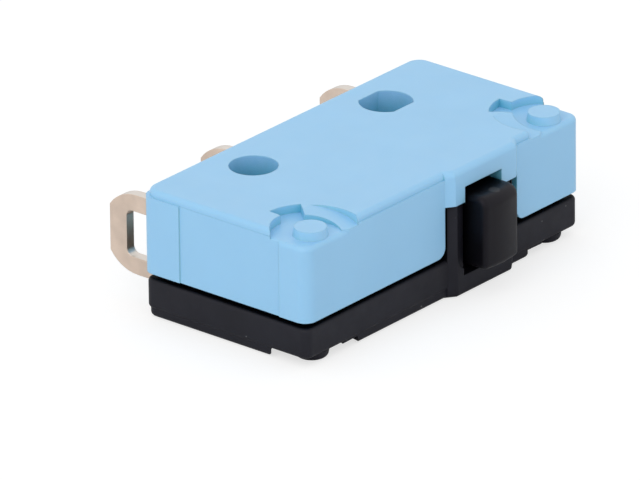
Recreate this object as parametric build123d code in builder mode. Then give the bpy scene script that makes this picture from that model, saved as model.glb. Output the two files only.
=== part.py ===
"""Subminiature snap-action micro switch with solder terminals.

The frame: X runs along the body, +Y is the way the plunger stands out, and +Z points
out of the cover. The origin is on the underside, half-way between the mounting holes.
Every length is in millimetres.
"""
import math
import os

from build123d import *

# ---------------------------------------------------------------- driving dimensions
# Outside of the housing
body_length = 19.8
hole_to_back = 2.4
hole_to_front = 7.45
body_thickness = 6.4
corner_radius = 0.6
inner_corner_radius = 0.1

# Mounting holes
hole_pitch = 9.5
hole_diameter = 2.3
long_hole_diameter = 2.55
long_hole_flats = 2.12
hole_tube_wall = 0.45

# Cover
cover_wall = 0.5
cover_top = 0.8
split_height = 2.25
plate_height = 0.35
ledge_width = 0.08
plate_corner_radius = 0.75
plate_round = 0.24
end_panel_depth = 0.06
end_panel_from_back = 2.27
end_panel_from_front = 1.65
bay_round = 0.3

# Base
base_inset = 0.09
base_wall = 0.5
base_floor = 0.9
base_corner_radius = 0.4
base_round = 0.25
base_rim_round = 0.2
pad_inset = 0.07
groove_height = 0.3
skirt_gap = 0.05
tube_joint_height = 3.2
tube_joint_gap = 0.05

# Corner recesses round the bosses, on the top and on the underside
boss_to_end = 1.5
boss_to_front = 1.0
boss_radius = 0.75
boss_draft = 0.06
recess_depth = 0.42
recess_rim_round = 0.22
recess_radius = 1.85
pocket_radius = 2.55
ramp_inner_radius = 1.45
ramp_outer_radius = 2.4
pocket_start = -87
ramp_start = -50
ramp_end = 34
recess_end = 110

# Plunger bay: where the front wall stands forward round the plunger
bay_x = -2.57
bay_rise = 0.3
bay_front_width = 4.38
bay_foot_width = 5.2
bay_skirt_round = 0.5
jamb_height = 4.64
jamb_gap = 0.05
jamb_side_gap = 0.24
mouth_width = 3.9
mouth_depth = 0.15
mouth_bottom = 1.3
mouth_radius = 0.7
sill_height = 1.0
slot_top = 5.46

# Plunger
plunger_x = -2.37
plunger_width = 2.4
plunger_bottom = 1.47
plunger_top = 5.05
plunger_reach = 8.97
plunger_bow = 0.15
plunger_travel = 1.1
plunger_top_round = 0.5
plunger_bottom_round = 0.25
plunger_side_round = 0.2
plunger_side_gap = 0.12
flange_width = 3.6
flange_thickness = 0.5
flange_gap = 0.1
guide_gap = 0.08
foot_radius = 0.4
foot_drop = 0.42
foot_length = 2.4

# Terminals, all cut from one thickness of sheet
terminal_sheet = 0.5
common_lug_reach = 5.76
normally_open_lug_reach = 5.53
normally_closed_lug_reach = 5.4
lug_height = 3.98
lug_tip_height = 2.3
lug_taper_length = 1.6
lug_middle = 3.2
lug_wall_gap = 0.05
eye_from_tip = 1.0
eye_length = 1.5
eye_height = 2.3
eye_radius = 0.35
shank_height = 2.6
common_tube_gap = 0.47
normally_open_x = 2.03
normally_closed_to_end = 1.29
terminal_slot_gap = 0.03
terminal_rib = 0.5
terminal_rib_length = 1.6
bend_radius = 0.2

# Contacts and the snap mechanism
touch_gap = 0.03
contact_to_end = 3.1
contact_head_radius = 0.75
contact_head_height = 0.3
contact_crown = 0.08
contact_shank_radius = 0.4
contact_gap = 0.5
strip_over_tube = 0.2
blade_thickness = 0.25
blade_width = 2.4
blade_window_width = 1.4
blade_window_from_post = 1.0
blade_window_margin = 0.05
blade_end_margin = 0.8
knife_post_height = 0.5
knife_notch_depth = 0.25
knife_notch_height = 0.6
knife_gap = 0.05
knife_post_from_common = 2.62
lever_thickness = 0.25
lever_width = 2.0
lever_pivot_to_end = 1.8
pivot_post_radius = 0.3
bearing_clearance = 0.05
hook_from_plunger = 1.445
hook_clearance = 0.1
hook_drop = 0.65
hook_neck_width = 0.3
hook_foot_width = 0.8
hook_foot_height = 0.2
blade_hook_to_contact = 2.3
blade_hook_rise = 0.3
spring_wire = 0.16
spring_radius = 0.45
spring_pitch = 0.42
spring_stretch = 0.09

# ---------------------------------------------------------------- places worked out from them
half_length = body_length / 2
back_y = -hole_to_back
front_y = hole_to_front
outline_depth = front_y - back_y
outline_middle_y = (front_y + back_y) / 2
bay_y = front_y + bay_rise
hole_radius = hole_diameter / 2
tube_radius = hole_radius + hole_tube_wall
ledge_z = body_thickness - plate_height
recess_floor_z = body_thickness - recess_depth
ceiling_z = body_thickness - cover_top
rim_z = split_height - groove_height
upstand_inset = cover_wall + skirt_gap
inner_inset = upstand_inset + base_wall
front_inner_y = front_y - inner_inset
back_inner_y = back_y + inner_inset

flange_top_y = front_inner_y - flange_gap
flange_bottom_y = flange_top_y - flange_thickness
foot_y = flange_bottom_y - foot_drop
lever_top_y = foot_y - touch_gap
lever_bottom_y = lever_top_y - lever_thickness
curl_inner = pivot_post_radius + bearing_clearance
curl_outer = curl_inner + lever_thickness
lever_pivot = Vector(-half_length + lever_pivot_to_end, lever_top_y - curl_outer, lug_middle)

common_x = -(hole_pitch / 2 + tube_radius + common_tube_gap)
normally_closed_x = half_length - normally_closed_to_end
contact_x = half_length - contact_to_end
knife_post_x = common_x + knife_post_from_common
open_strip_y = tube_radius + strip_over_tube
open_head_top_y = open_strip_y + terminal_sheet + contact_head_height
blade_bottom_y = open_head_top_y + contact_gap + contact_head_height
blade_top_y = blade_bottom_y + blade_thickness
closed_head_bottom_y = blade_top_y + contact_head_height + touch_gap
closed_strip_y = closed_head_bottom_y + contact_head_height
blade_y = (blade_bottom_y + blade_top_y) / 2
knife_tip_x = knife_post_x - knife_notch_depth + knife_gap

hook_x = plunger_x + hook_from_plunger
hook_y = lever_bottom_y - hook_drop
blade_hook_x = contact_x - blade_hook_to_contact
blade_hook_y = blade_top_y + blade_hook_rise
mechanism_z = lug_middle
shank_bottom = mechanism_z - shank_height / 2


def housing_outline(inset, radius=corner_radius):
    """The housing's outline in plan, set in from the cover's walls, with its corner radius."""
    with Locations((0, outline_middle_y)):
        RectangleRounded(body_length - 2 * inset, outline_depth - 2 * inset, radius)


def bay_outline(inset, side_gap=0.0):
    """Plan of the stretch of front wall that stands forward round the plunger."""
    foot = bay_foot_width / 2 - side_gap
    front = bay_front_width / 2 - side_gap
    inner = front_inner_y
    with BuildLine() as bay_line:
        Polyline(
            (bay_x - foot, inner),
            (bay_x - foot, front_y - inset),
            (bay_x - front, bay_y - inset),
            (bay_x + front, bay_y - inset),
            (bay_x + foot, front_y - inset),
            (bay_x + foot, inner),
            close=True,
        )
    make_face(bay_line.edges())


def hole_outlines():
    """The round mounting hole, and the one that two flats make longer along the body."""
    with Locations((hole_pitch / 2, 0)):
        Circle(hole_radius)
    wide_circle = Circle(long_hole_diameter / 2, mode=Mode.PRIVATE)
    between_flats = Rectangle(long_hole_diameter, long_hole_flats, mode=Mode.PRIVATE)
    add((wide_circle & between_flats).moved(Location((-hole_pitch / 2, 0))))


def polar(radius, angle):
    """A point about the boss at the +X corner: 0 degrees is -X and 90 degrees is +Y."""
    return (-radius * math.cos(math.radians(angle)), radius * math.sin(math.radians(angle)))


def ring_sector(inner, outer, start, end):
    """A sector of a ring about the boss."""
    middle = (start + end) / 2
    with BuildLine() as sector_line:
        ThreePointArc(polar(outer, start), polar(outer, middle), polar(outer, end))
        Line(polar(outer, end), polar(inner, end))
        if inner > 0:
            ThreePointArc(polar(inner, end), polar(inner, middle), polar(inner, start))
        Line(polar(inner, start), polar(outer, start))
    make_face(sector_line.edges())


# ---------------------------------------------------------------- cutters for the corner recesses
# Drawn about the boss, with the recess floor at z = 0 and the plate's level at recess_depth.
ramp_middle = (ramp_start + ramp_end) / 2
ramp_half_angle = math.radians((ramp_end - ramp_start) / 2)
ramp_mean_radius = (ramp_inner_radius + ramp_outer_radius) / 2
ramp_slope = math.atan(recess_depth / (2 * ramp_mean_radius * math.sin(ramp_half_angle)))
ramp_across = Vector(*polar(1, ramp_middle), 0)
ramp_down = Vector(*polar(1, ramp_middle + 90), 0)
ramp_plane = Plane(
    origin=ramp_across * (ramp_mean_radius * math.cos(ramp_half_angle)) + Vector(0, 0, recess_depth / 2),
    x_dir=ramp_across,
    z_dir=Vector(0, 0, math.cos(ramp_slope)) + ramp_down * math.sin(ramp_slope),
)

with BuildPart() as ramp_cutter:
    with BuildSketch():
        ring_sector(ramp_inner_radius, ramp_outer_radius, ramp_start, ramp_end)
    extrude(amount=2 * recess_depth)
    split(bisect_by=ramp_plane, keep=Keep.TOP)

with BuildPart() as recess_cutter:
    with BuildSketch():
        ring_sector(0, recess_radius, ramp_end, 360 + pocket_start)
        ring_sector(0, pocket_radius, pocket_start, ramp_start)
        ring_sector(0, ramp_outer_radius, ramp_end, recess_end)
        Circle(ramp_inner_radius)
    extrude(amount=2 * recess_depth)
    extrude(faces().sort_by(Axis.Z)[0], amount=recess_rim_round)
    add(ramp_cutter.part)
    Cone(
        boss_radius + boss_draft,
        boss_radius,
        recess_depth,
        align=(Align.CENTER, Align.CENTER, Align.MIN),
        mode=Mode.SUBTRACT,
    )


def cut_corner_recesses(cutter, floor_z):
    """Cut the recess at both corners beside the plunger's wall."""
    near = cutter.moved(Location((half_length - boss_to_end, front_y - boss_to_front, floor_z)))
    add(near, mode=Mode.SUBTRACT)
    add(near.mirror(Plane.YZ), mode=Mode.SUBTRACT)


# ---------------------------------------------------------------- cover
with BuildPart() as cover_plate:
    with BuildSketch(Plane.XY.offset(recess_floor_z - recess_rim_round)):
        housing_outline(0)
    extrude(amount=ledge_z - recess_floor_z + recess_rim_round)
    with BuildSketch(Plane.XY.offset(ledge_z)):
        housing_outline(ledge_width, plate_corner_radius)
    extrude(amount=plate_height)
    fillet(cover_plate.faces().sort_by(Axis.Z)[-1].edges(), plate_round)
    cut_corner_recesses(recess_cutter.part, recess_floor_z)

with BuildPart() as bay_cap:
    with BuildSketch(Plane.XY.offset(split_height)):
        bay_outline(0)
    extrude(amount=body_thickness - split_height)
    bay_top_edges = bay_cap.faces().sort_by(Axis.Z)[-1].edges()
    fillet(bay_top_edges.filter_by_position(Axis.Y, front_y + bay_rise / 4, bay_y + bay_rise), bay_round)

with BuildPart() as cover:
    with BuildSketch(Plane.XY.offset(split_height)):
        housing_outline(0)
    extrude(amount=recess_floor_z - split_height)
    fillet(cover.faces().sort_by(Axis.Z)[-1].edges(), recess_rim_round)
    add(cover_plate.part)
    add(bay_cap.part)

    # The hollow, and the tubes that hang from its ceiling round the mounting holes
    with BuildSketch(Plane.XY.offset(split_height)):
        housing_outline(cover_wall, inner_corner_radius)
    extrude(amount=ceiling_z - split_height, mode=Mode.SUBTRACT)
    with BuildSketch(Plane.XY.offset(tube_joint_height)):
        with Locations((hole_pitch / 2, 0), (-hole_pitch / 2, 0)):
            Circle(tube_radius)
    extrude(amount=ceiling_z - tube_joint_height)
    with BuildSketch():
        hole_outlines()
    extrude(amount=body_thickness, mode=Mode.SUBTRACT)

    # The wide mouth over the jambs, and the narrower slot over the plunger
    with BuildSketch(Plane.XY.offset(split_height)):
        with Locations((bay_x, front_y)):
            Rectangle(bay_foot_width, 2 * cover_wall + 2 * bay_rise)
    extrude(amount=jamb_height + jamb_gap - split_height, mode=Mode.SUBTRACT)
    skirt_corners = cover.edges().filter_by(Axis.Y).group_by(Axis.Z)[0]
    beside_bay = skirt_corners.filter_by_position(Axis.X, bay_x - bay_foot_width, bay_x + bay_foot_width)
    fillet(beside_bay, bay_skirt_round)
    with BuildSketch(Plane.XY.offset(split_height)):
        with Locations((plunger_x, front_y)):
            Rectangle(plunger_width + 2 * plunger_side_gap, 2 * cover_wall + 2 * bay_rise)
    extrude(amount=slot_top - split_height, mode=Mode.SUBTRACT)

    # Notches for the terminals in the back wall
    with BuildSketch(Plane.XY.offset(split_height)):
        for terminal_x in (common_x, normally_open_x, normally_closed_x):
            with Locations((terminal_x - terminal_sheet / 2, back_y)):
                Rectangle(terminal_sheet + 2 * terminal_slot_gap, 3 * cover_wall)
    notch_top = shank_bottom + shank_height + terminal_slot_gap
    extrude(amount=notch_top - split_height, mode=Mode.SUBTRACT)

    # The middle panel of each end wall stands back a little
    panel_from = back_y + end_panel_from_back
    panel_to = front_y - end_panel_from_front
    with BuildSketch(Plane.XY.offset(split_height)):
        with Locations((half_length, (panel_from + panel_to) / 2), (-half_length, (panel_from + panel_to) / 2)):
            Rectangle(2 * end_panel_depth, panel_to - panel_from)
    extrude(amount=ledge_z - split_height, mode=Mode.SUBTRACT)

cover.part.label = "cover"

# ---------------------------------------------------------------- base
with BuildPart() as jamb_block:
    with BuildSketch():
        bay_outline(base_inset, jamb_side_gap)
    extrude(amount=jamb_height)
    jamb_bottom_edges = jamb_block.faces().sort_by(Axis.Z)[0].edges()
    fillet(jamb_bottom_edges.filter_by_position(Axis.Y, front_y, bay_y), base_round)

with BuildPart() as base_pad:
    with BuildSketch():
        housing_outline(base_inset + pad_inset, base_corner_radius)
    extrude(amount=recess_depth + recess_rim_round)
    cut_corner_recesses(recess_cutter.part.mirror(Plane.XY), recess_depth)
    # The short straight edges where a recess meets the side stay sharp.
    pad_edges = base_pad.faces().group_by(Axis.Z)[0].edges()
    pad_rims = pad_edges.filter_by(lambda e: e.geom_type == GeomType.CIRCLE or e.length > recess_radius)
    fillet(pad_rims, base_round)

with BuildPart() as base:
    with BuildSketch(Plane.XY.offset(recess_depth)):
        housing_outline(base_inset, base_corner_radius)
    extrude(amount=rim_z - recess_depth)
    fillet(base.faces().sort_by(Axis.Z)[0].edges(), recess_rim_round)
    fillet(base.faces().sort_by(Axis.Z)[-1].edges(), base_rim_round)
    with BuildSketch(Plane.XY.offset(base_floor / 2)):
        housing_outline(upstand_inset, inner_corner_radius)
    extrude(amount=ceiling_z - base_floor / 2)
    add(base_pad.part)
    add(jamb_block.part)

    # The hollow inside the upstand wall
    with BuildSketch(Plane.XY.offset(base_floor)):
        housing_outline(inner_inset, inner_corner_radius)
    extrude(amount=body_thickness, mode=Mode.SUBTRACT)

    # Hole tubes, the lever's pivot post, and the ribs that hold each terminal on edge
    tube_top = tube_joint_height - tube_joint_gap
    with BuildSketch(Plane.XY.offset(base_floor / 2)):
        with Locations((hole_pitch / 2, 0), (-hole_pitch / 2, 0)):
            Circle(tube_radius)
    extrude(amount=tube_top - base_floor / 2)
    with BuildSketch(Plane.XY.offset(base_floor / 2)):
        with Locations((lever_pivot.X, lever_pivot.Y)):
            Circle(pivot_post_radius)
    extrude(amount=ceiling_z - guide_gap - base_floor / 2)
    with BuildSketch(Plane.XY.offset(base_floor / 2)):
        for terminal_x in (common_x, normally_open_x, normally_closed_x):
            with Locations((terminal_x - terminal_sheet / 2, back_inner_y + terminal_rib_length / 2)):
                Rectangle(terminal_sheet + 2 * terminal_rib, terminal_rib_length + base_wall)
    extrude(amount=tube_top - base_floor / 2)

    # Room beside the back upstand for the tubes of the cover
    with BuildSketch(Plane.XY.offset(tube_top)):
        with Locations((hole_pitch / 2, 0), (-hole_pitch / 2, 0)):
            Circle(tube_radius + skirt_gap)
    extrude(amount=body_thickness, mode=Mode.SUBTRACT)

    # Mounting holes, terminal slots, the mouth round the plunger and the slot that it runs in
    with BuildSketch():
        hole_outlines()
    extrude(amount=body_thickness, mode=Mode.SUBTRACT)
    with BuildSketch(Plane.XY.offset(shank_bottom)):
        for terminal_x in (common_x, normally_open_x, normally_closed_x):
            with Locations((terminal_x - terminal_sheet / 2, back_y + hole_to_back / 2)):
                Rectangle(terminal_sheet + 2 * terminal_slot_gap, 2 * hole_to_back)
    extrude(amount=body_thickness, mode=Mode.SUBTRACT)
    with BuildSketch(Plane.XZ.offset(mouth_depth - bay_y)):
        with Locations((bay_x, mouth_bottom)):
            RectangleRounded(mouth_width, 2 * body_thickness, mouth_radius, align=(Align.CENTER, Align.MIN))
    extrude(amount=-2 * mouth_depth, mode=Mode.SUBTRACT)
    with BuildSketch(Plane.XY.offset(sill_height)):
        with Locations((plunger_x, front_y)):
            Rectangle(plunger_width + 2 * plunger_side_gap, 2 * (front_y - front_inner_y) + bay_rise)
    extrude(amount=body_thickness, mode=Mode.SUBTRACT)

base.part.label = "base"

# ---------------------------------------------------------------- plunger
with BuildPart() as plunger:
    side = plunger_width / 2
    corner_y = plunger_reach - plunger_bow
    with BuildSketch(Plane.XY.offset(plunger_bottom)):
        with BuildLine():
            bowed_end = ThreePointArc(
                (plunger_x - side, corner_y), (plunger_x, plunger_reach), (plunger_x + side, corner_y)
            )
            Polyline(
                bowed_end @ 1,
                (plunger_x + side, flange_bottom_y),
                (plunger_x - side, flange_bottom_y),
                bowed_end @ 0,
            )
        make_face()
    extrude(amount=plunger_top - plunger_bottom)
    end_edges = plunger.edges().filter_by(GeomType.CIRCLE).sort_by(Axis.Z)
    fillet(end_edges[-1], plunger_top_round)
    fillet(end_edges[0], plunger_bottom_round)
    for side_face in plunger.faces().filter_by(Axis.X):
        fillet(side_face.edges().filter_by_position(Axis.Y, flange_top_y, plunger_reach), plunger_side_round)
    flange_bottom_z = base_floor + guide_gap
    with BuildSketch(Plane.XY.offset(flange_bottom_z)):
        with Locations((plunger_x, flange_bottom_y + flange_thickness / 2)):
            Rectangle(flange_width, flange_thickness)
    extrude(amount=ceiling_z - guide_gap - flange_bottom_z)
    with BuildSketch(Plane.XY.offset(mechanism_z - foot_length / 2)):
        with Locations((plunger_x, foot_y + foot_radius)):
            Circle(foot_radius)
        with Locations((plunger_x, flange_bottom_y)):
            Rectangle(2 * foot_radius, 2 * (flange_bottom_y - foot_y - foot_radius) + foot_radius)
    extrude(amount=foot_length)

plunger.part.label = "plunger"

# ---------------------------------------------------------------- terminals
half_sheet = terminal_sheet / 2
shoulder_y = back_y - lug_wall_gap


def lug(outer_x, reach):
    """The solder lug outside the housing, with its eye."""
    tip_y = -reach
    taper_y = tip_y + lug_taper_length
    with BuildSketch(Plane.YZ.offset(outer_x - terminal_sheet)) as lug_face:
        with BuildLine():
            upper = TangentArc(
                (taper_y, lug_middle + lug_height / 2),
                (tip_y, lug_middle + lug_tip_height / 2),
                tangent=(-1, 0),
            )
            lower = TangentArc(
                (taper_y, lug_middle - lug_height / 2),
                (tip_y, lug_middle - lug_tip_height / 2),
                tangent=(-1, 0),
            )
            Line(upper @ 1, lower @ 1)
            Polyline(upper @ 0, (shoulder_y, (upper @ 0).Y), (shoulder_y, (lower @ 0).Y), lower @ 0)
        make_face()
        with Locations((tip_y + eye_from_tip + eye_length / 2, lug_middle)):
            RectangleRounded(eye_length, eye_height, eye_radius, mode=Mode.SUBTRACT)
    extrude(lug_face.sketch, amount=terminal_sheet)


def bent_strip(*corners):
    """The sheet inside the housing: bent about Z along its middle line, on edge."""
    with BuildSketch(Plane.XY.offset(shank_bottom)) as strip_face:
        with BuildLine():
            FilletPolyline(*corners, radius=bend_radius + half_sheet)
        trace(line_width=terminal_sheet)
    extrude(strip_face.sketch, amount=shank_height)


def drill_contact(strip_y):
    """The hole in a strip for its contact's shank."""
    with BuildSketch(Plane.XZ.offset(-strip_y)) as shank_hole:
        with Locations((contact_x, mechanism_z)):
            Circle(contact_shank_radius)
    extrude(shank_hole.sketch, amount=-terminal_sheet, mode=Mode.SUBTRACT)


with BuildPart() as common_terminal:
    lug(common_x, common_lug_reach)
    bent_strip(
        (common_x - half_sheet, shoulder_y - lug_wall_gap),
        (common_x - half_sheet, open_strip_y + half_sheet),
        (knife_post_x - half_sheet, open_strip_y + half_sheet),
        (knife_post_x - half_sheet, blade_y + knife_post_height),
    )
    with BuildSketch(Plane.XY.offset(shank_bottom)):
        with BuildLine():
            Polyline(
                (knife_post_x - knife_notch_depth, blade_y),
                (knife_post_x, blade_y + knife_notch_height / 2),
                (knife_post_x, blade_y - knife_notch_height / 2),
                close=True,
            )
        make_face()
    extrude(amount=shank_height, mode=Mode.SUBTRACT)

common_terminal.part.label = "common_terminal"

with BuildPart() as normally_open_terminal:
    lug(normally_open_x, normally_open_lug_reach)
    bent_strip(
        (normally_open_x - half_sheet, shoulder_y - lug_wall_gap),
        (normally_open_x - half_sheet, open_strip_y + half_sheet),
        (contact_x + contact_head_radius, open_strip_y + half_sheet),
    )
    drill_contact(open_strip_y)

normally_open_terminal.part.label = "normally_open_terminal"

with BuildPart() as normally_closed_terminal:
    lug(normally_closed_x, normally_closed_lug_reach)
    bent_strip(
        (normally_closed_x - half_sheet, shoulder_y - lug_wall_gap),
        (normally_closed_x - half_sheet, closed_strip_y + half_sheet),
        (contact_x - contact_head_radius, closed_strip_y + half_sheet),
    )
    drill_contact(closed_strip_y)

normally_closed_terminal.part.label = "normally_closed_terminal"


# ---------------------------------------------------------------- contacts
def contact_head(from_y, crowned_face):
    """A contact's round head, crowned on the face that meets the other contact."""
    with BuildSketch(Plane.XZ.offset(-from_y)) as head_face:
        with Locations((contact_x, mechanism_z)):
            Circle(contact_head_radius)
    extrude(head_face.sketch, amount=-contact_head_height)
    crowned_y = from_y + (contact_head_height if crowned_face > 0 else 0)
    rim = edges().filter_by(GeomType.CIRCLE)
    fillet(rim.filter_by_position(Axis.Y, crowned_y - touch_gap, crowned_y + touch_gap), contact_crown)


def contact_shank(from_y, length):
    """The shank of a contact, which fills the hole that it is riveted in."""
    with BuildSketch(Plane.XZ.offset(-from_y)) as shank_face:
        with Locations((contact_x, mechanism_z)):
            Circle(contact_shank_radius)
    extrude(shank_face.sketch, amount=-length)


with BuildPart() as normally_open_contact:
    contact_head(open_strip_y + terminal_sheet, 1)
    contact_shank(open_strip_y, terminal_sheet)

normally_open_contact.part.label = "normally_open_contact"

with BuildPart() as normally_closed_contact:
    contact_head(closed_head_bottom_y, -1)
    contact_shank(closed_strip_y, terminal_sheet)

normally_closed_contact.part.label = "normally_closed_contact"

with BuildPart() as moving_contact:
    contact_head(blade_top_y, 1)
    contact_head(blade_bottom_y - contact_head_height, -1)
    contact_shank(blade_bottom_y, blade_thickness)

moving_contact.part.label = "moving_contact"

# ---------------------------------------------------------------- contact lever on its knife edge
blade_end_x = contact_x + blade_end_margin
hook_half = blade_thickness / 2
blade_window_start = knife_post_x + blade_window_from_post
blade_window_end = blade_hook_x - hook_half - blade_window_margin
ring_space = spring_wire / 2 + hook_clearance

with BuildPart() as contact_lever:
    with BuildSketch(Plane.XZ.offset(-blade_bottom_y)):
        with Locations(((knife_tip_x + blade_end_x) / 2, mechanism_z)):
            Rectangle(blade_end_x - knife_tip_x, blade_width)
        with Locations(((blade_window_start + blade_window_end) / 2, mechanism_z)):
            Rectangle(blade_window_end - blade_window_start, blade_window_width, mode=Mode.SUBTRACT)
        with Locations((contact_x, mechanism_z)):
            Circle(contact_shank_radius, mode=Mode.SUBTRACT)
    extrude(amount=-blade_thickness)
    knife_edges = contact_lever.edges().filter_by(Axis.Z).sort_by(Axis.X)[:2]
    chamfer(knife_edges, length=0.45 * blade_thickness)
    with BuildSketch(Plane.YZ.offset(blade_hook_x - hook_half)):
        neck_top = blade_hook_y + ring_space
        with Locations(((blade_bottom_y + neck_top) / 2, mechanism_z)):
            Rectangle(neck_top - blade_bottom_y, hook_neck_width)
        with Locations((neck_top + hook_foot_height / 2, mechanism_z)):
            Rectangle(hook_foot_height, hook_foot_width)
    extrude(amount=blade_thickness)

contact_lever.part.label = "contact_lever"

# ---------------------------------------------------------------- operating lever
with BuildPart() as operating_lever:
    with BuildSketch(Plane.XY.offset(mechanism_z - lever_width / 2)):
        strip_end = hook_x + lever_thickness / 2
        with Locations(((lever_pivot.X + strip_end) / 2, (lever_top_y + lever_bottom_y) / 2)):
            Rectangle(strip_end - lever_pivot.X, lever_thickness)
        with Locations((lever_pivot.X, lever_pivot.Y)):
            Circle(curl_outer)
            Circle(curl_inner, mode=Mode.SUBTRACT)
    extrude(amount=lever_width)
    with BuildSketch(Plane.YZ.offset(hook_x - lever_thickness / 2)):
        neck_bottom = hook_y - ring_space
        neck_start = hook_y + ring_space + spring_wire
        with Locations(((lever_top_y + neck_start) / 2, mechanism_z)):
            Rectangle(lever_top_y - neck_start, hook_foot_width)
        with Locations(((neck_start + neck_bottom) / 2, mechanism_z)):
            Rectangle(neck_start - neck_bottom, hook_neck_width)
        with Locations((neck_bottom - hook_foot_height / 2, mechanism_z)):
            Rectangle(hook_foot_height, hook_foot_width)
    extrude(amount=lever_thickness)

operating_lever.part.label = "operating_lever"

# ---------------------------------------------------------------- tension spring
blade_hook = Vector(blade_hook_x, blade_hook_y, mechanism_z)
lever_hook = Vector(hook_x, hook_y, mechanism_z)
spring_line = (lever_hook - blade_hook).normalized()
spring_length = (lever_hook - blade_hook).length + spring_stretch
spring_side = spring_line.cross(Vector(0, 0, 1))
coil_start = blade_hook + spring_line * spring_radius
coil_length = spring_length - 2 * spring_radius


def hook_ring(centre):
    """The loop at one end of the spring, which drops over a hook's neck."""
    ring_plane = Plane(origin=centre, x_dir=Vector(0, 0, 1), z_dir=spring_line)
    with BuildSketch(ring_plane) as ring_face:
        with Locations((spring_radius, 0)):
            Circle(spring_wire / 2)
    revolve(ring_face.sketch, axis=Axis(centre, spring_side))


def cross_wire(axis_point, turn_end):
    """The wire that runs from the end loop, on the spring's axis, out to the first turn."""
    way_out = (turn_end - axis_point).normalized()
    sunk = spring_wire / 5
    with BuildSketch(Plane(origin=axis_point - way_out * sunk, z_dir=way_out)) as wire_face:
        Circle(0.42 * spring_wire)
    extrude(wire_face.sketch, amount=spring_radius + 2 * sunk)


with BuildPart() as tension_spring:
    with BuildLine() as coil_line:
        Helix(spring_pitch, coil_length, spring_radius, center=coil_start, direction=spring_line)
    coil = coil_line.line
    with BuildSketch(Plane(origin=coil @ 0, z_dir=coil % 0)):
        Circle(spring_wire / 2)
    sweep(path=coil, is_frenet=True)
    cross_wire(coil_start, coil @ 0)
    cross_wire(coil_start + spring_line * coil_length, coil @ 1)
    hook_ring(blade_hook)
    hook_ring(blade_hook + spring_line * spring_length)

tension_spring.part.label = "tension_spring"

# ---------------------------------------------------------------- write the parts
os.makedirs("parts", exist_ok=True)
for piece in (
    cover,
    base,
    plunger,
    common_terminal,
    normally_open_terminal,
    normally_closed_terminal,
    normally_open_contact,
    normally_closed_contact,
    moving_contact,
    contact_lever,
    operating_lever,
    tension_spring,
):
    export_step(piece.part, f"parts/{piece.part.label}.step")

# Where the moving pieces turn, and how far each turns over the plunger's whole travel
knife_tip = Vector(knife_tip_x, blade_y, mechanism_z)
lever_swing = -math.degrees(math.atan(plunger_travel / (plunger_x - lever_pivot.X)))
blade_swing = -math.degrees((contact_gap - touch_gap) / (contact_x - knife_tip_x))
pressed_lever_hook = lever_pivot + (lever_hook - lever_pivot).rotate(Axis.Z, lever_swing)
pressed_blade_hook = knife_tip + (blade_hook - knife_tip).rotate(Axis.Z, blade_swing)
pressed_line = pressed_lever_hook - pressed_blade_hook
spring_swing = spring_line.get_signed_angle(pressed_line, Vector(0, 0, 1)) - blade_swing
print("operating lever turns about", lever_pivot, "by", lever_swing, "degrees")
print("contact lever turns about", knife_tip, "by", blade_swing, "degrees")
print("spring turns about", blade_hook, "by", spring_swing, "degrees, and stretches to", pressed_line.length)
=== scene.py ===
"""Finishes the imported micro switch: its plastics and metals, the stage, the light and the camera.

Lengths are in metres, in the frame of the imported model: X runs along the body, +Y is the way
the plunger stands out, and +Z points out of the cover.
"""
import math

import bpy
from bpy.props import FloatProperty, FloatVectorProperty, PointerProperty
from bpy.types import Operator, Panel, PropertyGroup
from mathutils import Matrix, Vector


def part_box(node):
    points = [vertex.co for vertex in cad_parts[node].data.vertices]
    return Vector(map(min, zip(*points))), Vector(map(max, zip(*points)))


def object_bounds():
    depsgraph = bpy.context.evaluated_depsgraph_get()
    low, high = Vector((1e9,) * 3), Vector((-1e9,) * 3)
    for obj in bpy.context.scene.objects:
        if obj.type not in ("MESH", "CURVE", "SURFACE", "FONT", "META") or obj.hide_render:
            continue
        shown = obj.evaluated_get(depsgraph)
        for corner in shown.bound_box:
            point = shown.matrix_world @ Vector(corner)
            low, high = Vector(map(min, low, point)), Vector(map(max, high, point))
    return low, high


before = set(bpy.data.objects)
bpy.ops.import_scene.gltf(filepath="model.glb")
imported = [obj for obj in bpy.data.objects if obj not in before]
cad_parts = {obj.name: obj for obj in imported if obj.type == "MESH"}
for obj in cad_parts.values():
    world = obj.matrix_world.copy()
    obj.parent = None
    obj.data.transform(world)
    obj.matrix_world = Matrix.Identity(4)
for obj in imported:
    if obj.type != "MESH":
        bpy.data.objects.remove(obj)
CAD_LOW, CAD_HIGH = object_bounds()

bl_info = {
    "name": "Micro Switch Finish",
    "version": (1, 0, 0),
    "blender": (4, 5, 0),
    "location": "View3D > Sidebar > Micro Switch",
    "description": "Finishes a subminiature micro switch with solder lugs",
    "category": "Object",
}

MM = 0.001
MOST_NOISE = (0.3, 0.7)  # noise seldom leaves this range
OPENNESS_SAMPLES = 8
SOFT_EDGE_SAMPLES = 6
CLIP_RATIO = 100  # the camera sees from its distance divided by this to its distance times this
TERMINALS = ("common_terminal", "normally_open_terminal", "normally_closed_terminal")
CONTACTS = ("normally_open_contact", "normally_closed_contact", "moving_contact")


# ---------------------------------------------------------------- properties
def colour(name, description, default):
    """A colour property, given as it is seen (sRGB), from 0 to 1."""
    return FloatVectorProperty(
        name=name,
        description=description,
        default=default,
        size=3,
        min=0.0,
        max=1.0,
        subtype="COLOR_GAMMA",
    )


def length(name, description, default):
    """A length property in metres."""
    return FloatProperty(
        name=name,
        description=description,
        default=default,
        precision=5,
        subtype="DISTANCE",
        unit="LENGTH",
    )


def share(name, description, default):
    """A property from 0 to 1."""
    return FloatProperty(
        name=name, description=description, default=default, min=0.0, max=1.0, subtype="FACTOR"
    )


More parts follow.
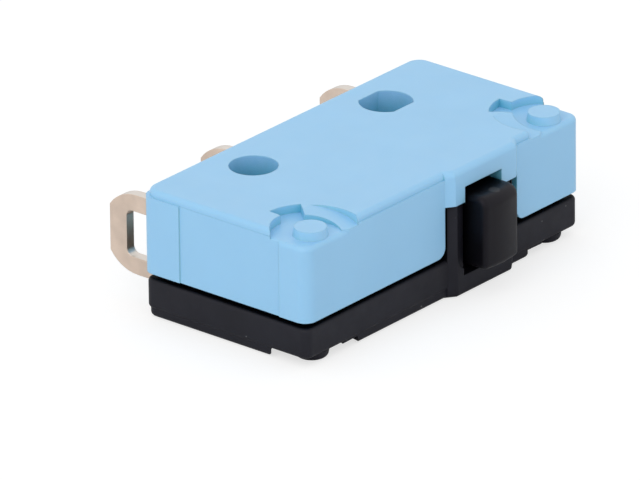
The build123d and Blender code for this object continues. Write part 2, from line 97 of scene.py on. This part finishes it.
def angle(name, description, default_degrees):
    """An angle property, whose default is given in degrees."""
    return FloatProperty(
        name=name,
        description=description,
        default=math.radians(default_degrees),
        subtype="ANGLE",
        unit="ROTATION",
    )


class CoverLook(PropertyGroup):
    """The light blue moulding."""

    plastic: colour("Plastic", "Colour of the cover's plastic", (0.613, 0.828, 0.982))
    # Painted shade: upright walls near a corner take a darker, greener colour where the recess
    # shades them.
    recess_wall_shade: colour("Recess wall", "Colour of upright walls near a corner", (0.59, 0.825, 0.9))
    recess_shade_reach: length("Recess reach", "How far from the corner that colour goes", 0.8 * MM)
    # Painted shade: upright walls deep in a hole take this darker colour.
    hole_wall_shade: colour("Hole wall", "Colour of upright walls down in a hole", (0.42, 0.76, 0.86))
    hole_shade_reach: length("Hole reach", "Walls that face each other nearer than this", 3.0 * MM)
    translucence: length("Translucence", "How far light spreads inside the plastic", 0.4 * MM)
    roughness: share("Roughness", "How matt the moulded skin is", 0.38)
    edge: length("Edge", "How far the edges look rounded", 0.07 * MM)
    patches: length("Patches", "Size of the faint patches in the colour", 3.2 * MM)
    wear: length("Wear", "Size of the patches that are a little more matt", 1.1 * MM)
    grain: length("Grain", "Size of the mould's fine texture", 0.07 * MM)
    grain_depth: length("Grain depth", "Depth of the mould's fine texture", 0.002 * MM)


class BaseLook(PropertyGroup):
    """The black moulding."""

    plastic: colour("Plastic", "Colour of the base's plastic", (0.11, 0.11, 0.145))
    roughness: share("Roughness", "How matt the moulded skin is", 0.5)
    # Painted shade: crevices narrower than this are painted dark.
    crevice_shade: length("Crevice", "Width of the gaps that light hardly reaches", 0.6 * MM)
    foot: length("Foot", "Height under which nothing counts as a gap", 0.6 * MM)
    edge: length("Edge", "How far the edges look rounded", 0.06 * MM)
    dust: colour("Dust", "Colour of the specks of dust", (0.6, 0.6, 0.6))
    dust_spacing: length("Dust spacing", "Distance between specks of dust", 0.55 * MM)
    dust_drift: length("Dust drift", "Size of the patches that have dust", 1.7 * MM)
    patches: length("Patches", "Size of the faint patches in the colour", 2.4 * MM)
    wear: length("Wear", "Size of the patches that are a little more matt", 0.9 * MM)
    grain: length("Grain", "Size of the mould's fine texture", 0.09 * MM)
    grain_depth: length("Grain depth", "Depth of the mould's fine texture", 0.003 * MM)


class PlungerLook(PropertyGroup):
    """The black pin plunger."""

    plastic: colour("Plastic", "Colour of the plunger's plastic", (0.022, 0.02, 0.032))
    gloss: colour("Gloss", "Tint of the light that the skin reflects", (0.95, 0.93, 1.0))
    roughness: share("Roughness", "How matt the plunger is", 0.38)
    # Painted shade: gaps narrower than this are painted darker.
    crevice_shade: length("Crevice", "Width of the gaps that light hardly reaches", 1.0 * MM)
    edge: length("Edge", "How far the edges look rounded", 0.28 * MM)
    # Painted highlight: the round gate mark is real, but its lighter grey stands in for the
    # highlight on its dimple.
    mark: colour("Gate mark", "Colour of the round mark on top", (0.2, 0.2, 0.2))
    mark_radius: length("Gate mark radius", "Radius of the round mark on top", 0.3 * MM)
    mark_inset: length("Gate mark inset", "From the plunger's front to its middle", 0.58 * MM)
    patches: length("Patches", "Size of the faint patches in the colour", 1.5 * MM)
    wear: length("Wear", "Size of the patches that are a little more matt", 0.8 * MM)
    grain: length("Grain", "Size of the skin's fine texture", 0.12 * MM)
    grain_depth: length("Grain depth", "Depth of the skin's fine texture", 0.0015 * MM)


class TerminalLook(PropertyGroup):
    """The three stamped terminals."""

    plating: colour("Plating", "Colour of the plated sheet", (0.93, 0.85, 0.785))
    # Cut edges keep their own unplated tone, with painted shade making those facing sideways
    # browner and darker than those facing up or down.
    cut: colour("Cut edge", "Colour of the cut edges facing sideways", (0.86, 0.765, 0.67))
    cut_top: colour("Cut top edge", "Colour of the cut edges facing up or down", (0.86, 0.83, 0.8))
    roughness: share("Roughness", "How matt the plating is", 0.34)
    edge: length("Edge", "How far the edges look rounded", 0.05 * MM)
    tarnish: length("Tarnish", "Size of the patches of tarnish", 1.2 * MM)
    line_pitch: length("Rolled lines", "Distance between the lines of rolling", 0.05 * MM)
    line_depth: length("Line depth", "Depth of those lines", 0.0012 * MM)


class MechanismLook(PropertyGroup):
    """The contacts, levers and spring inside."""

    silver: colour("Silver", "Colour of the contacts", (0.88, 0.88, 0.87))
    dulled: length("Dulled patches", "Size of the duller patches on the contacts", 0.25 * MM)
    grain: length("Grain", "Size of the contacts' fine texture", 0.04 * MM)
    grain_depth: length("Grain depth", "Depth of the contacts' fine texture", 0.001 * MM)
    copper: colour("Copper alloy", "Colour of the contact lever", (0.83, 0.64, 0.48))
    tarnish: length("Tarnish", "Size of the patches of tarnish on the contact lever", 0.9 * MM)
    rolled_pitch: length("Rolled lines", "Distance between the contact lever's lines", 0.05 * MM)
    rolled_depth: length("Rolled depth", "Depth of the contact lever's lines", 0.001 * MM)
    steel: colour("Steel", "Colour of the operating lever and the spring", (0.68, 0.68, 0.69))
    stains: length("Stains", "Size of the darker patches on the steel", 0.5 * MM)
    drawn_pitch: length("Drawn lines", "Distance between the steel's lines", 0.04 * MM)
    drawn_depth: length("Drawn depth", "Depth of the steel's lines", 0.0008 * MM)


class StageLook(PropertyGroup):
    """The floor, the lights and the camera."""

    floor: colour("Floor", "Colour of the floor", (0.93, 0.93, 0.93))
    floor_size: length("Floor size", "Side of the floor", 3.0)
    floor_lift: FloatProperty(
        name="Floor lift", description="How bright the floor's own white is", default=1.34
    )
    shadow_fade: share("Shadow fade", "How much of that white the camera sees over the shadow", 0.5)
    key_power: FloatProperty(
        name="Key power", description="Power of the large soft light", default=0.22, unit="POWER"
    )
    key_size: length("Key size", "Side of the large soft light", 0.25)
    key_place: FloatVectorProperty(
        name="Key place",
        description="Where the large soft light hangs",
        default=(0.26, 0.05, 0.21),
        subtype="TRANSLATION",
        unit="LENGTH",
    )
    sky: share("Sky", "Strength of the plain light from all round", 0.766)
    azimuth: angle("Azimuth", "Where the camera stands round the object", 130.163)
    elevation: angle("Elevation", "How high the camera stands", 23.915)
    roll: angle("Roll", "How the camera leans to one side", -0.635)
    distance: length("Distance", "From the object to the camera", 547.3 * MM)
    lens: FloatProperty(
        name="Lens", description="Focal length of the camera", default=667.4, unit="CAMERA"
    )
    aim_height: length("Aim height", "Height of the point that the camera is set by", 3.2 * MM)
    aim_across: length("Aim across", "How far left of that point the camera looks", 0.04 * MM)
    aim_below: length("Aim below", "How far under that point the camera looks", 1.994 * MM)


LOOKS = {
    "switch_cover": CoverLook,
    "switch_base": BaseLook,
    "switch_plunger": PlungerLook,
    "switch_terminals": TerminalLook,
    "switch_mechanism": MechanismLook,
    "switch_stage": StageLook,
}


# ---------------------------------------------------------------- material building
def linear(seen):
    """A seen (sRGB) colour as the linear RGBA that shader sockets take."""
    return tuple(c / 12.92 if c <= 0.04045 else ((c + 0.055) / 1.055) ** 2.4 for c in seen) + (1.0,)


def tinted(linear_colour, factor):
    """A linear colour made lighter or darker."""
    return tuple(min(1.0, c * factor) for c in linear_colour[:3]) + (1.0,)


class Finish:
    """A node material while it is built, with one Principled BSDF."""

    def __init__(self, name):
        self.material = bpy.data.materials.new(name)
        self.material.use_nodes = True
        self.nodes = self.material.node_tree.nodes
        self.links = self.material.node_tree.links
        self.nodes.clear()
        self.shader = self.nodes.new("ShaderNodeBsdfPrincipled")
        output = self.nodes.new("ShaderNodeOutputMaterial")
        self.links.new(self.shader.outputs["BSDF"], output.inputs["Surface"])
        coordinates = self.nodes.new("ShaderNodeTexCoord")
        self.place = coordinates.outputs["Object"]
        self.normal = coordinates.outputs["Normal"]

    def set(self, **sockets):
        """Fixed values on the shader's own sockets, with _ for a space in a name."""
        for name, value in sockets.items():
            self.shader.inputs[name.replace("_", " ")].default_value = value

    def feed(self, socket, output):
        """Link an output to a socket of the shader."""
        self.links.new(output, self.shader.inputs[socket])

    def stretched(self, x, y, z):
        """Object coordinates, scaled by axis."""
        mapping = self.nodes.new("ShaderNodeMapping")
        mapping.inputs["Scale"].default_value = (x, y, z)
        self.links.new(self.place, mapping.inputs["Vector"])
        return mapping.outputs["Vector"]

    def noise(self, size, detail=2.0, roughness=0.5, place=None):
        """Noise with features of about the given size, from 0 to 1."""
        node = self.nodes.new("ShaderNodeTexNoise")
        node.inputs["Scale"].default_value = 1.0 / size
        node.inputs["Detail"].default_value = detail
        node.inputs["Roughness"].default_value = roughness
        self.links.new(place or self.place, node.inputs["Vector"])
        return node.outputs["Fac"]

    def between(self, value, low, high, to_low=0.0, to_high=1.0):
        """value taken from low..high to to_low..to_high, and held at its ends."""
        node = self.nodes.new("ShaderNodeMapRange")
        node.inputs["From Min"].default_value = low
        node.inputs["From Max"].default_value = high
        node.inputs["To Min"].default_value = to_low
        node.inputs["To Max"].default_value = to_high
        self.links.new(value, node.inputs["Value"])
        return node.outputs["Result"]

    def varied(self, noise, low=0.0, high=1.0):
        """Noise spread out from low to high."""
        return self.between(noise, *MOST_NOISE, low, high)

    def specks(self, spacing, core, radius):
        """1 in scattered specks, whose core and radius are shares of the spacing."""
        node = self.nodes.new("ShaderNodeTexVoronoi")
        node.inputs["Scale"].default_value = 1.0 / spacing
        self.links.new(self.place, node.inputs["Vector"])
        return self.between(node.outputs["Distance"], core, radius, 1.0, 0.0)

    def combine(self, operation, a, b):
        """Two values in one maths node."""
        node = self.nodes.new("ShaderNodeMath")
        node.operation = operation
        self.links.new(a, node.inputs[0])
        self.links.new(b, node.inputs[1])
        return node.outputs["Value"]

    def blend(self, share_of_b, a, b):
        """Colour a going over to colour b. Each is a linear RGBA or an output."""
        node = self.nodes.new("ShaderNodeMix")
        node.data_type = "RGBA"
        self.links.new(share_of_b, node.inputs[0])
        for socket, value in ((node.inputs[6], a), (node.inputs[7], b)):
            if isinstance(value, tuple):
                socket.default_value = value
            else:
                self.links.new(value, socket)
        return node.outputs[2]

    def along(self, axis, vector):
        """One part of a vector."""
        split = self.nodes.new("ShaderNodeSeparateXYZ")
        self.links.new(vector, split.inputs["Vector"])
        return split.outputs[axis]

    def facing(self, axis):
        """How squarely the surface faces along an axis of the object, from 0 to 1."""
        size = self.nodes.new("ShaderNodeMath")
        size.operation = "ABSOLUTE"
        self.links.new(self.along(axis, self.normal), size.inputs[0])
        return size.outputs["Value"]

    def disc(self, x, y, core, radius):
        """1 within the core of an upright round bar, going down to 0 at its radius."""
        flat = self.nodes.new("ShaderNodeVectorMath")
        flat.operation = "MULTIPLY"
        flat.inputs[1].default_value = (1.0, 1.0, 0.0)
        self.links.new(self.place, flat.inputs[0])
        distance = self.nodes.new("ShaderNodeVectorMath")
        distance.operation = "DISTANCE"
        distance.inputs[1].default_value = (x, y, 0.0)
        self.links.new(flat.outputs["Vector"], distance.inputs[0])
        return self.between(distance.outputs["Value"], core, radius, 1.0, 0.0)

    def openness(self, reach, closed, clear):
        """How open the space in front of the surface is, within a reach.

        It is 0 where a share of it up to closed is open, and 1 from the share clear on.
        """
        node = self.nodes.new("ShaderNodeAmbientOcclusion")
        node.samples = OPENNESS_SAMPLES
        node.inputs["Distance"].default_value = reach
        return self.between(node.outputs["AO"], closed, clear)

    def relief(self, height, depth, edge_radius=0.0):
        """Fine relief on the surface, and edges softened over a radius."""
        bump = self.nodes.new("ShaderNodeBump")
        bump.inputs["Distance"].default_value = depth
        self.links.new(height, bump.inputs["Height"])
        if edge_radius:
            soft = self.nodes.new("ShaderNodeBevel")
            soft.samples = SOFT_EDGE_SAMPLES
            soft.inputs["Radius"].default_value = edge_radius
            self.links.new(soft.outputs["Normal"], bump.inputs["Normal"])
        self.feed("Normal", bump.outputs["Normal"])

    def put_on(self, *nodes):
        """Put the material on CAD nodes."""
        for node in nodes:
            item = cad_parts[node]
            if not item.material_slots:
                item.data.materials.append(self.material)
            for material_slot in item.material_slots:
                material_slot.material = self.material


# ---------------------------------------------------------------- operators
class SWITCH_OT_cover(Operator):
    """Give the cover its light blue moulded plastic"""

    bl_idname = "micro_switch.cover"
    bl_label = "Cover"

    def execute(self, context):
        look = context.scene.switch_cover
        plastic = linear(look.plastic)
        made = Finish("cover_plastic")
        made.set(
            IOR=1.55,
            Subsurface_Weight=0.12,
            Subsurface_Scale=look.translucence,
            Subsurface_Radius=(0.5, 0.8, 1.0),
        )
        patches = made.varied(made.noise(look.patches, 3.0))
        skin = made.blend(patches, tinted(plastic, 0.985), tinted(plastic, 1.015))
        level = made.facing("Z")
        # Painted shade on upright walls in recesses, by how open the space in front of them is;
        # flat faces keep the plain skin.
        clear_of_recess_shade = made.combine("MAXIMUM", level, made.openness(look.recess_shade_reach, 0.45, 0.9))
        skin = made.blend(clear_of_recess_shade, linear(look.recess_wall_shade), skin)
        # Painted shade on upright walls down in holes, where walls face each other closely.
        clear_of_hole_shade = made.combine("MAXIMUM", level, made.openness(look.hole_shade_reach, 0.2, 0.5))
        made.feed("Base Color", made.blend(clear_of_hole_shade, linear(look.hole_wall_shade), skin))
        wear = made.noise(look.wear, 4.0)
        made.feed("Roughness", made.varied(wear, look.roughness - 0.05, look.roughness + 0.05))
        made.relief(made.noise(look.grain, 3.0, 0.6), look.grain_depth, look.edge)
        made.put_on("cover")
        return {"FINISHED"}


class SWITCH_OT_base(Operator):
    """Give the base its black moulded plastic with a few specks of dust, and painted shade in its
    crevices
    """

    bl_idname = "micro_switch.base"
    bl_label = "Base"

    def execute(self, context):
        look = context.scene.switch_base
        plastic = linear(look.plastic)
        made = Finish("base_plastic")
        made.set(IOR=1.5)
        patches = made.varied(made.noise(look.patches, 3.0))
        skin = made.blend(patches, tinted(plastic, 0.85), tinted(plastic, 1.2))
        drift = made.between(made.noise(look.dust_drift, 2.0), 0.5, 0.62)
        dust = made.combine("MULTIPLY", made.specks(look.dust_spacing, 0.05, 0.09), drift)
        dusted = made.blend(dust, skin, linear(look.dust))
        # Painted shade: crevices go to a tenth of the plastic's colour and lose most of their
        # reflection; nothing below the foot height is shaded, so the floor does not count.
        height = made.along("Z", made.place)
        foot = made.between(height, look.foot, look.foot + look.crevice_shade, 1.0, 0.0)
        lit = made.combine("MAXIMUM", foot, made.openness(look.crevice_shade, 0.45, 0.92))
        made.feed("Base Color", made.blend(lit, tinted(plastic, 0.1), dusted))
        made.feed("Specular IOR Level", made.between(lit, 0.0, 1.0, 0.04, 0.26))
        wear = made.noise(look.wear, 4.0)
        made.feed("Roughness", made.varied(wear, look.roughness - 0.07, look.roughness + 0.07))
        made.relief(made.noise(look.grain, 3.0, 0.6), look.grain_depth, look.edge)
        made.put_on("base")
        return {"FINISHED"}


class SWITCH_OT_plunger(Operator):
    """Give the plunger its smooth black plastic, with painted shade in its crevices and the round
    gate mark on top painted lighter as its highlight
    """

    bl_idname = "micro_switch.plunger"
    bl_label = "Plunger"

    def execute(self, context):
        look = context.scene.switch_plunger
        plastic = linear(look.plastic)
        made = Finish("plunger_plastic")
        made.set(IOR=1.5, Specular_Tint=linear(look.gloss))
        patches = made.varied(made.noise(look.patches, 3.0))
        skin = made.blend(patches, tinted(plastic, 0.85), tinted(plastic, 1.2))
        # Painted shade: crevices go to a fifth of the plastic's colour and lose most of their
        # reflection.
        lit = made.openness(look.crevice_shade, 0.45, 0.92)
        skin = made.blend(lit, tinted(plastic, 0.2), skin)
        plunger_low, plunger_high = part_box("plunger")
        # The gate mark, painted lighter than the plastic as its highlight.
        mark_x = (plunger_low.x + plunger_high.x) / 2
        mark_y = plunger_high.y - look.mark_inset
        mark = made.disc(mark_x, mark_y, 0.75 * look.mark_radius, look.mark_radius)
        made.feed("Base Color", made.blend(mark, skin, linear(look.mark)))
        made.feed("Specular IOR Level", made.between(lit, 0.0, 1.0, 0.05, 0.26))
        wear = made.noise(look.wear, 3.0)
        made.feed("Roughness", made.varied(wear, look.roughness - 0.04, look.roughness + 0.04))
        made.relief(made.noise(look.grain, 3.0), look.grain_depth, look.edge)
        made.put_on("plunger")
        return {"FINISHED"}


class SWITCH_OT_terminals(Operator):
    """Give the three terminals their rolled and plated sheet with cut edges"""

    bl_idname = "micro_switch.terminals"
    bl_label = "Terminals"

    def execute(self, context):
        look = context.scene.switch_terminals
        plating = linear(look.plating)
        made = Finish("terminal_metal")
        made.set(Metallic=1.0)
        tarnish = made.between(made.noise(look.tarnish, 4.0), 0.35, 0.7)
        sheet = made.blend(tarnish, tinted(plating, 1.06), tinted(plating, 0.86))
        # Cut edges: their own unplated tone, with painted shade by which way they face.
        upward = made.between(made.facing("Z"), 0.3, 0.7)
        cut_edge_tone_and_shade = made.blend(upward, linear(look.cut), linear(look.cut_top))
        cut = made.between(made.facing("X"), 0.25, 0.6, 1.0, 0.0)
        made.feed("Base Color", made.blend(cut, sheet, cut_edge_tone_and_shade))
        lines = made.noise(look.line_pitch, place=made.stretched(1.0, 0.04, 1.0))
        made.feed("Roughness", made.varied(lines, look.roughness - 0.06, look.roughness + 0.1))
        made.relief(lines, look.line_depth, look.edge)
        made.put_on(*TERMINALS)
        return {"FINISHED"}


class SWITCH_OT_contacts(Operator):
    """Give the riveted contacts their silver alloy"""

    bl_idname = "micro_switch.contacts"
    bl_label = "Contacts"

    def execute(self, context):
        look = context.scene.switch_mechanism
        silver = linear(look.silver)
        made = Finish("contact_silver")
        made.set(Metallic=1.0)
        dulled = made.between(made.noise(look.dulled, 4.0), 0.35, 0.7)
        made.feed("Base Color", made.blend(dulled, silver, tinted(silver, 0.8)))
        made.feed("Roughness", made.between(dulled, 0.0, 1.0, 0.22, 0.42))
        made.relief(made.noise(look.grain, 3.0), look.grain_depth)
        made.put_on(*CONTACTS)
        return {"FINISHED"}


class SWITCH_OT_contact_lever(Operator):
    """Give the contact lever its copper alloy sheet"""

    bl_idname = "micro_switch.contact_lever"
    bl_label = "Contact Lever"

    def execute(self, context):
        look = context.scene.switch_mechanism
        copper = linear(look.copper)
        made = Finish("contact_lever_metal")
        made.set(Metallic=1.0)
        tarnish = made.between(made.noise(look.tarnish, 4.0), 0.35, 0.7)
        made.feed("Base Color", made.blend(tarnish, copper, tinted(copper, 0.8)))
        lines = made.noise(look.rolled_pitch, place=made.stretched(0.04, 1.0, 1.0))
        made.feed("Roughness", made.varied(lines, 0.26, 0.4))
        made.relief(lines, look.rolled_depth)
        made.put_on("contact_lever")
        return {"FINISHED"}


class SWITCH_OT_steel(Operator):
    """Give the operating lever and the tension spring their spring steel"""

    bl_idname = "micro_switch.steel"
    bl_label = "Operating Lever and Spring"

    def execute(self, context):
        look = context.scene.switch_mechanism
        steel = linear(look.steel)
        made = Finish("spring_steel")
        made.set(Metallic=1.0)
        stains = made.noise(look.stains, 3.0)
        made.feed("Base Color", made.blend(stains, steel, tinted(steel, 0.85)))
        lines = made.noise(look.drawn_pitch, place=made.stretched(0.05, 1.0, 1.0))
        made.feed("Roughness", made.varied(lines, 0.2, 0.36))
        made.relief(lines, look.drawn_depth)
        made.put_on("operating_lever", "tension_spring")
        return {"FINISHED"}


def light_world(sky):
    """Plain light from all round, and a white surround for what the camera and gloss see."""
    world = bpy.data.worlds.new("surround")
    bpy.context.scene.world = world
    world.use_nodes = True
    nodes, links = world.node_tree.nodes, world.node_tree.links
    nodes.clear()
    path = nodes.new("ShaderNodeLightPath")
    strength = None
    for ray in ("Is Camera Ray", "Is Glossy Ray", "Is Transmission Ray"):
        if strength is None:
            strength = path.outputs[ray]
            continue
        either = nodes.new("ShaderNodeMath")
        either.operation = "MAXIMUM"
        links.new(strength, either.inputs[0])
        links.new(path.outputs[ray], either.inputs[1])
        strength = either.outputs["Value"]
    level = nodes.new("ShaderNodeMapRange")
    level.inputs["To Min"].default_value = sky
    links.new(strength, level.inputs["Value"])
    background = nodes.new("ShaderNodeBackground")
    background.inputs["Color"].default_value = (1.0, 1.0, 1.0, 1.0)
    links.new(level.outputs["Result"], background.inputs["Strength"])
    output = nodes.new("ShaderNodeOutputWorld")
    links.new(background.outputs["Background"], output.inputs["Surface"])


def lay_floor(look):
    """A pale floor under the switch, which shows white to the camera where no shadow falls."""
    half = look.floor_size / 2
    mesh = bpy.data.meshes.new("floor")
    corners = [(-half, -half, 0), (half, -half, 0), (half, half, 0), (-half, half, 0)]
    mesh.from_pydata(corners, [], [(0, 1, 2, 3)])
    floor = bpy.data.objects.new("floor", mesh)
    floor.location.z = CAD_LOW.z
    bpy.context.scene.collection.objects.link(floor)
    material = bpy.data.materials.new("floor")
    material.use_nodes = True
    nodes, links = material.node_tree.nodes, material.node_tree.links
    nodes.clear()
    matt = nodes.new("ShaderNodeBsdfDiffuse")
    matt.inputs["Color"].default_value = linear(look.floor)
    plain_white = nodes.new("ShaderNodeEmission")
    plain_white.inputs["Strength"].default_value = look.floor_lift
    path = nodes.new("ShaderNodeLightPath")
    amount = nodes.new("ShaderNodeMath")
    amount.operation = "MULTIPLY"
    amount.inputs[1].default_value = look.shadow_fade
    links.new(path.outputs["Is Camera Ray"], amount.inputs[0])
    seen = nodes.new("ShaderNodeMixShader")
    links.new(amount.outputs["Value"], seen.inputs["Fac"])
    links.new(matt.outputs["BSDF"], seen.inputs[1])
    links.new(plain_white.outputs["Emission"], seen.inputs[2])
    output = nodes.new("ShaderNodeOutputMaterial")
    links.new(seen.outputs["Shader"], output.inputs["Surface"])
    mesh.materials.append(material)


def hang_light(name, place, size, power):
    """A square soft light over the switch, turned towards it."""
    lamp = bpy.data.lights.new(name, "AREA")
    lamp.shape = "SQUARE"
    lamp.size = size
    lamp.energy = power
    item = bpy.data.objects.new(name, lamp)
    item.location = place
    item.rotation_euler = (-Vector(place)).to_track_quat("-Z", "Y").to_euler()
    bpy.context.scene.collection.objects.link(item)


def set_camera(look):
    """The camera, by where it stands round the switch and where it looks."""
    azimuth, elevation = look.azimuth, look.elevation
    back = Vector(
        (
            math.sin(azimuth) * math.cos(elevation),
            -math.cos(azimuth) * math.cos(elevation),
            math.sin(elevation),
        )
    )
    level = Vector((math.cos(azimuth), math.sin(azimuth), 0.0))
    lean = Matrix.Rotation(look.roll, 3, back)
    right = lean @ level
    up = back.cross(right)
    aim = Vector((0.0, 0.0, look.aim_height)) - right * look.aim_across - up * look.aim_below
    camera_data = bpy.data.cameras.new("camera")
    camera_data.lens = look.lens
    camera_data.clip_start = look.distance / CLIP_RATIO
    camera_data.clip_end = look.distance * CLIP_RATIO
    camera = bpy.data.objects.new("camera", camera_data)
    camera.matrix_world = Matrix.Translation(aim + back * look.distance) @ Matrix(
        (right, up, back)
    ).transposed().to_4x4()
    bpy.context.scene.collection.objects.link(camera)
    bpy.context.scene.camera = camera


class SWITCH_OT_stage(Operator):
    """Set the floor, the lights and the camera"""

    bl_idname = "micro_switch.stage"
    bl_label = "Stage"

    def execute(self, context):
        look = context.scene.switch_stage
        light_world(look.sky)
        lay_floor(look)
        hang_light("key", look.key_place, look.key_size, look.key_power)
        set_camera(look)
        context.scene.view_settings.view_transform = "Standard"
        return {"FINISHED"}


STEPS = (
    SWITCH_OT_stage,
    SWITCH_OT_cover,
    SWITCH_OT_base,
    SWITCH_OT_plunger,
    SWITCH_OT_terminals,
    SWITCH_OT_contacts,
    SWITCH_OT_contact_lever,
    SWITCH_OT_steel,
)


class SWITCH_PT_panel(Panel):
    """Lists the steps and their sizes and colours"""

    bl_idname = "SWITCH_PT_panel"
    bl_label = "Micro Switch"
    bl_space_type = "VIEW_3D"
    bl_region_type = "UI"
    bl_category = "Micro Switch"

    def draw(self, context):
        for step in STEPS:
            self.layout.operator(step.bl_idname)
        for name in LOOKS:
            look = getattr(context.scene, name)
            box = self.layout.box()
            box.label(text=name.removeprefix("switch_").capitalize())
            for field in look.__annotations__:
                box.prop(look, field)


def register():
    """Register the property groups, the operators and the panel."""
    for name, look in LOOKS.items():
        bpy.utils.register_class(look)
        setattr(bpy.types.Scene, name, PointerProperty(type=look))
    for step in STEPS:
        bpy.utils.register_class(step)
    bpy.utils.register_class(SWITCH_PT_panel)


def unregister():
    """Undo register."""
    bpy.utils.unregister_class(SWITCH_PT_panel)
    for step in reversed(STEPS):
        bpy.utils.unregister_class(step)
    for name, look in reversed(LOOKS.items()):
        delattr(bpy.types.Scene, name)
        bpy.utils.unregister_class(look)


def main():
    """Run every step."""
    register()
    for step in STEPS:
        group, name = step.bl_idname.split(".")
        getattr(getattr(bpy.ops, group), name)()


if __name__ == "__main__":
    main()
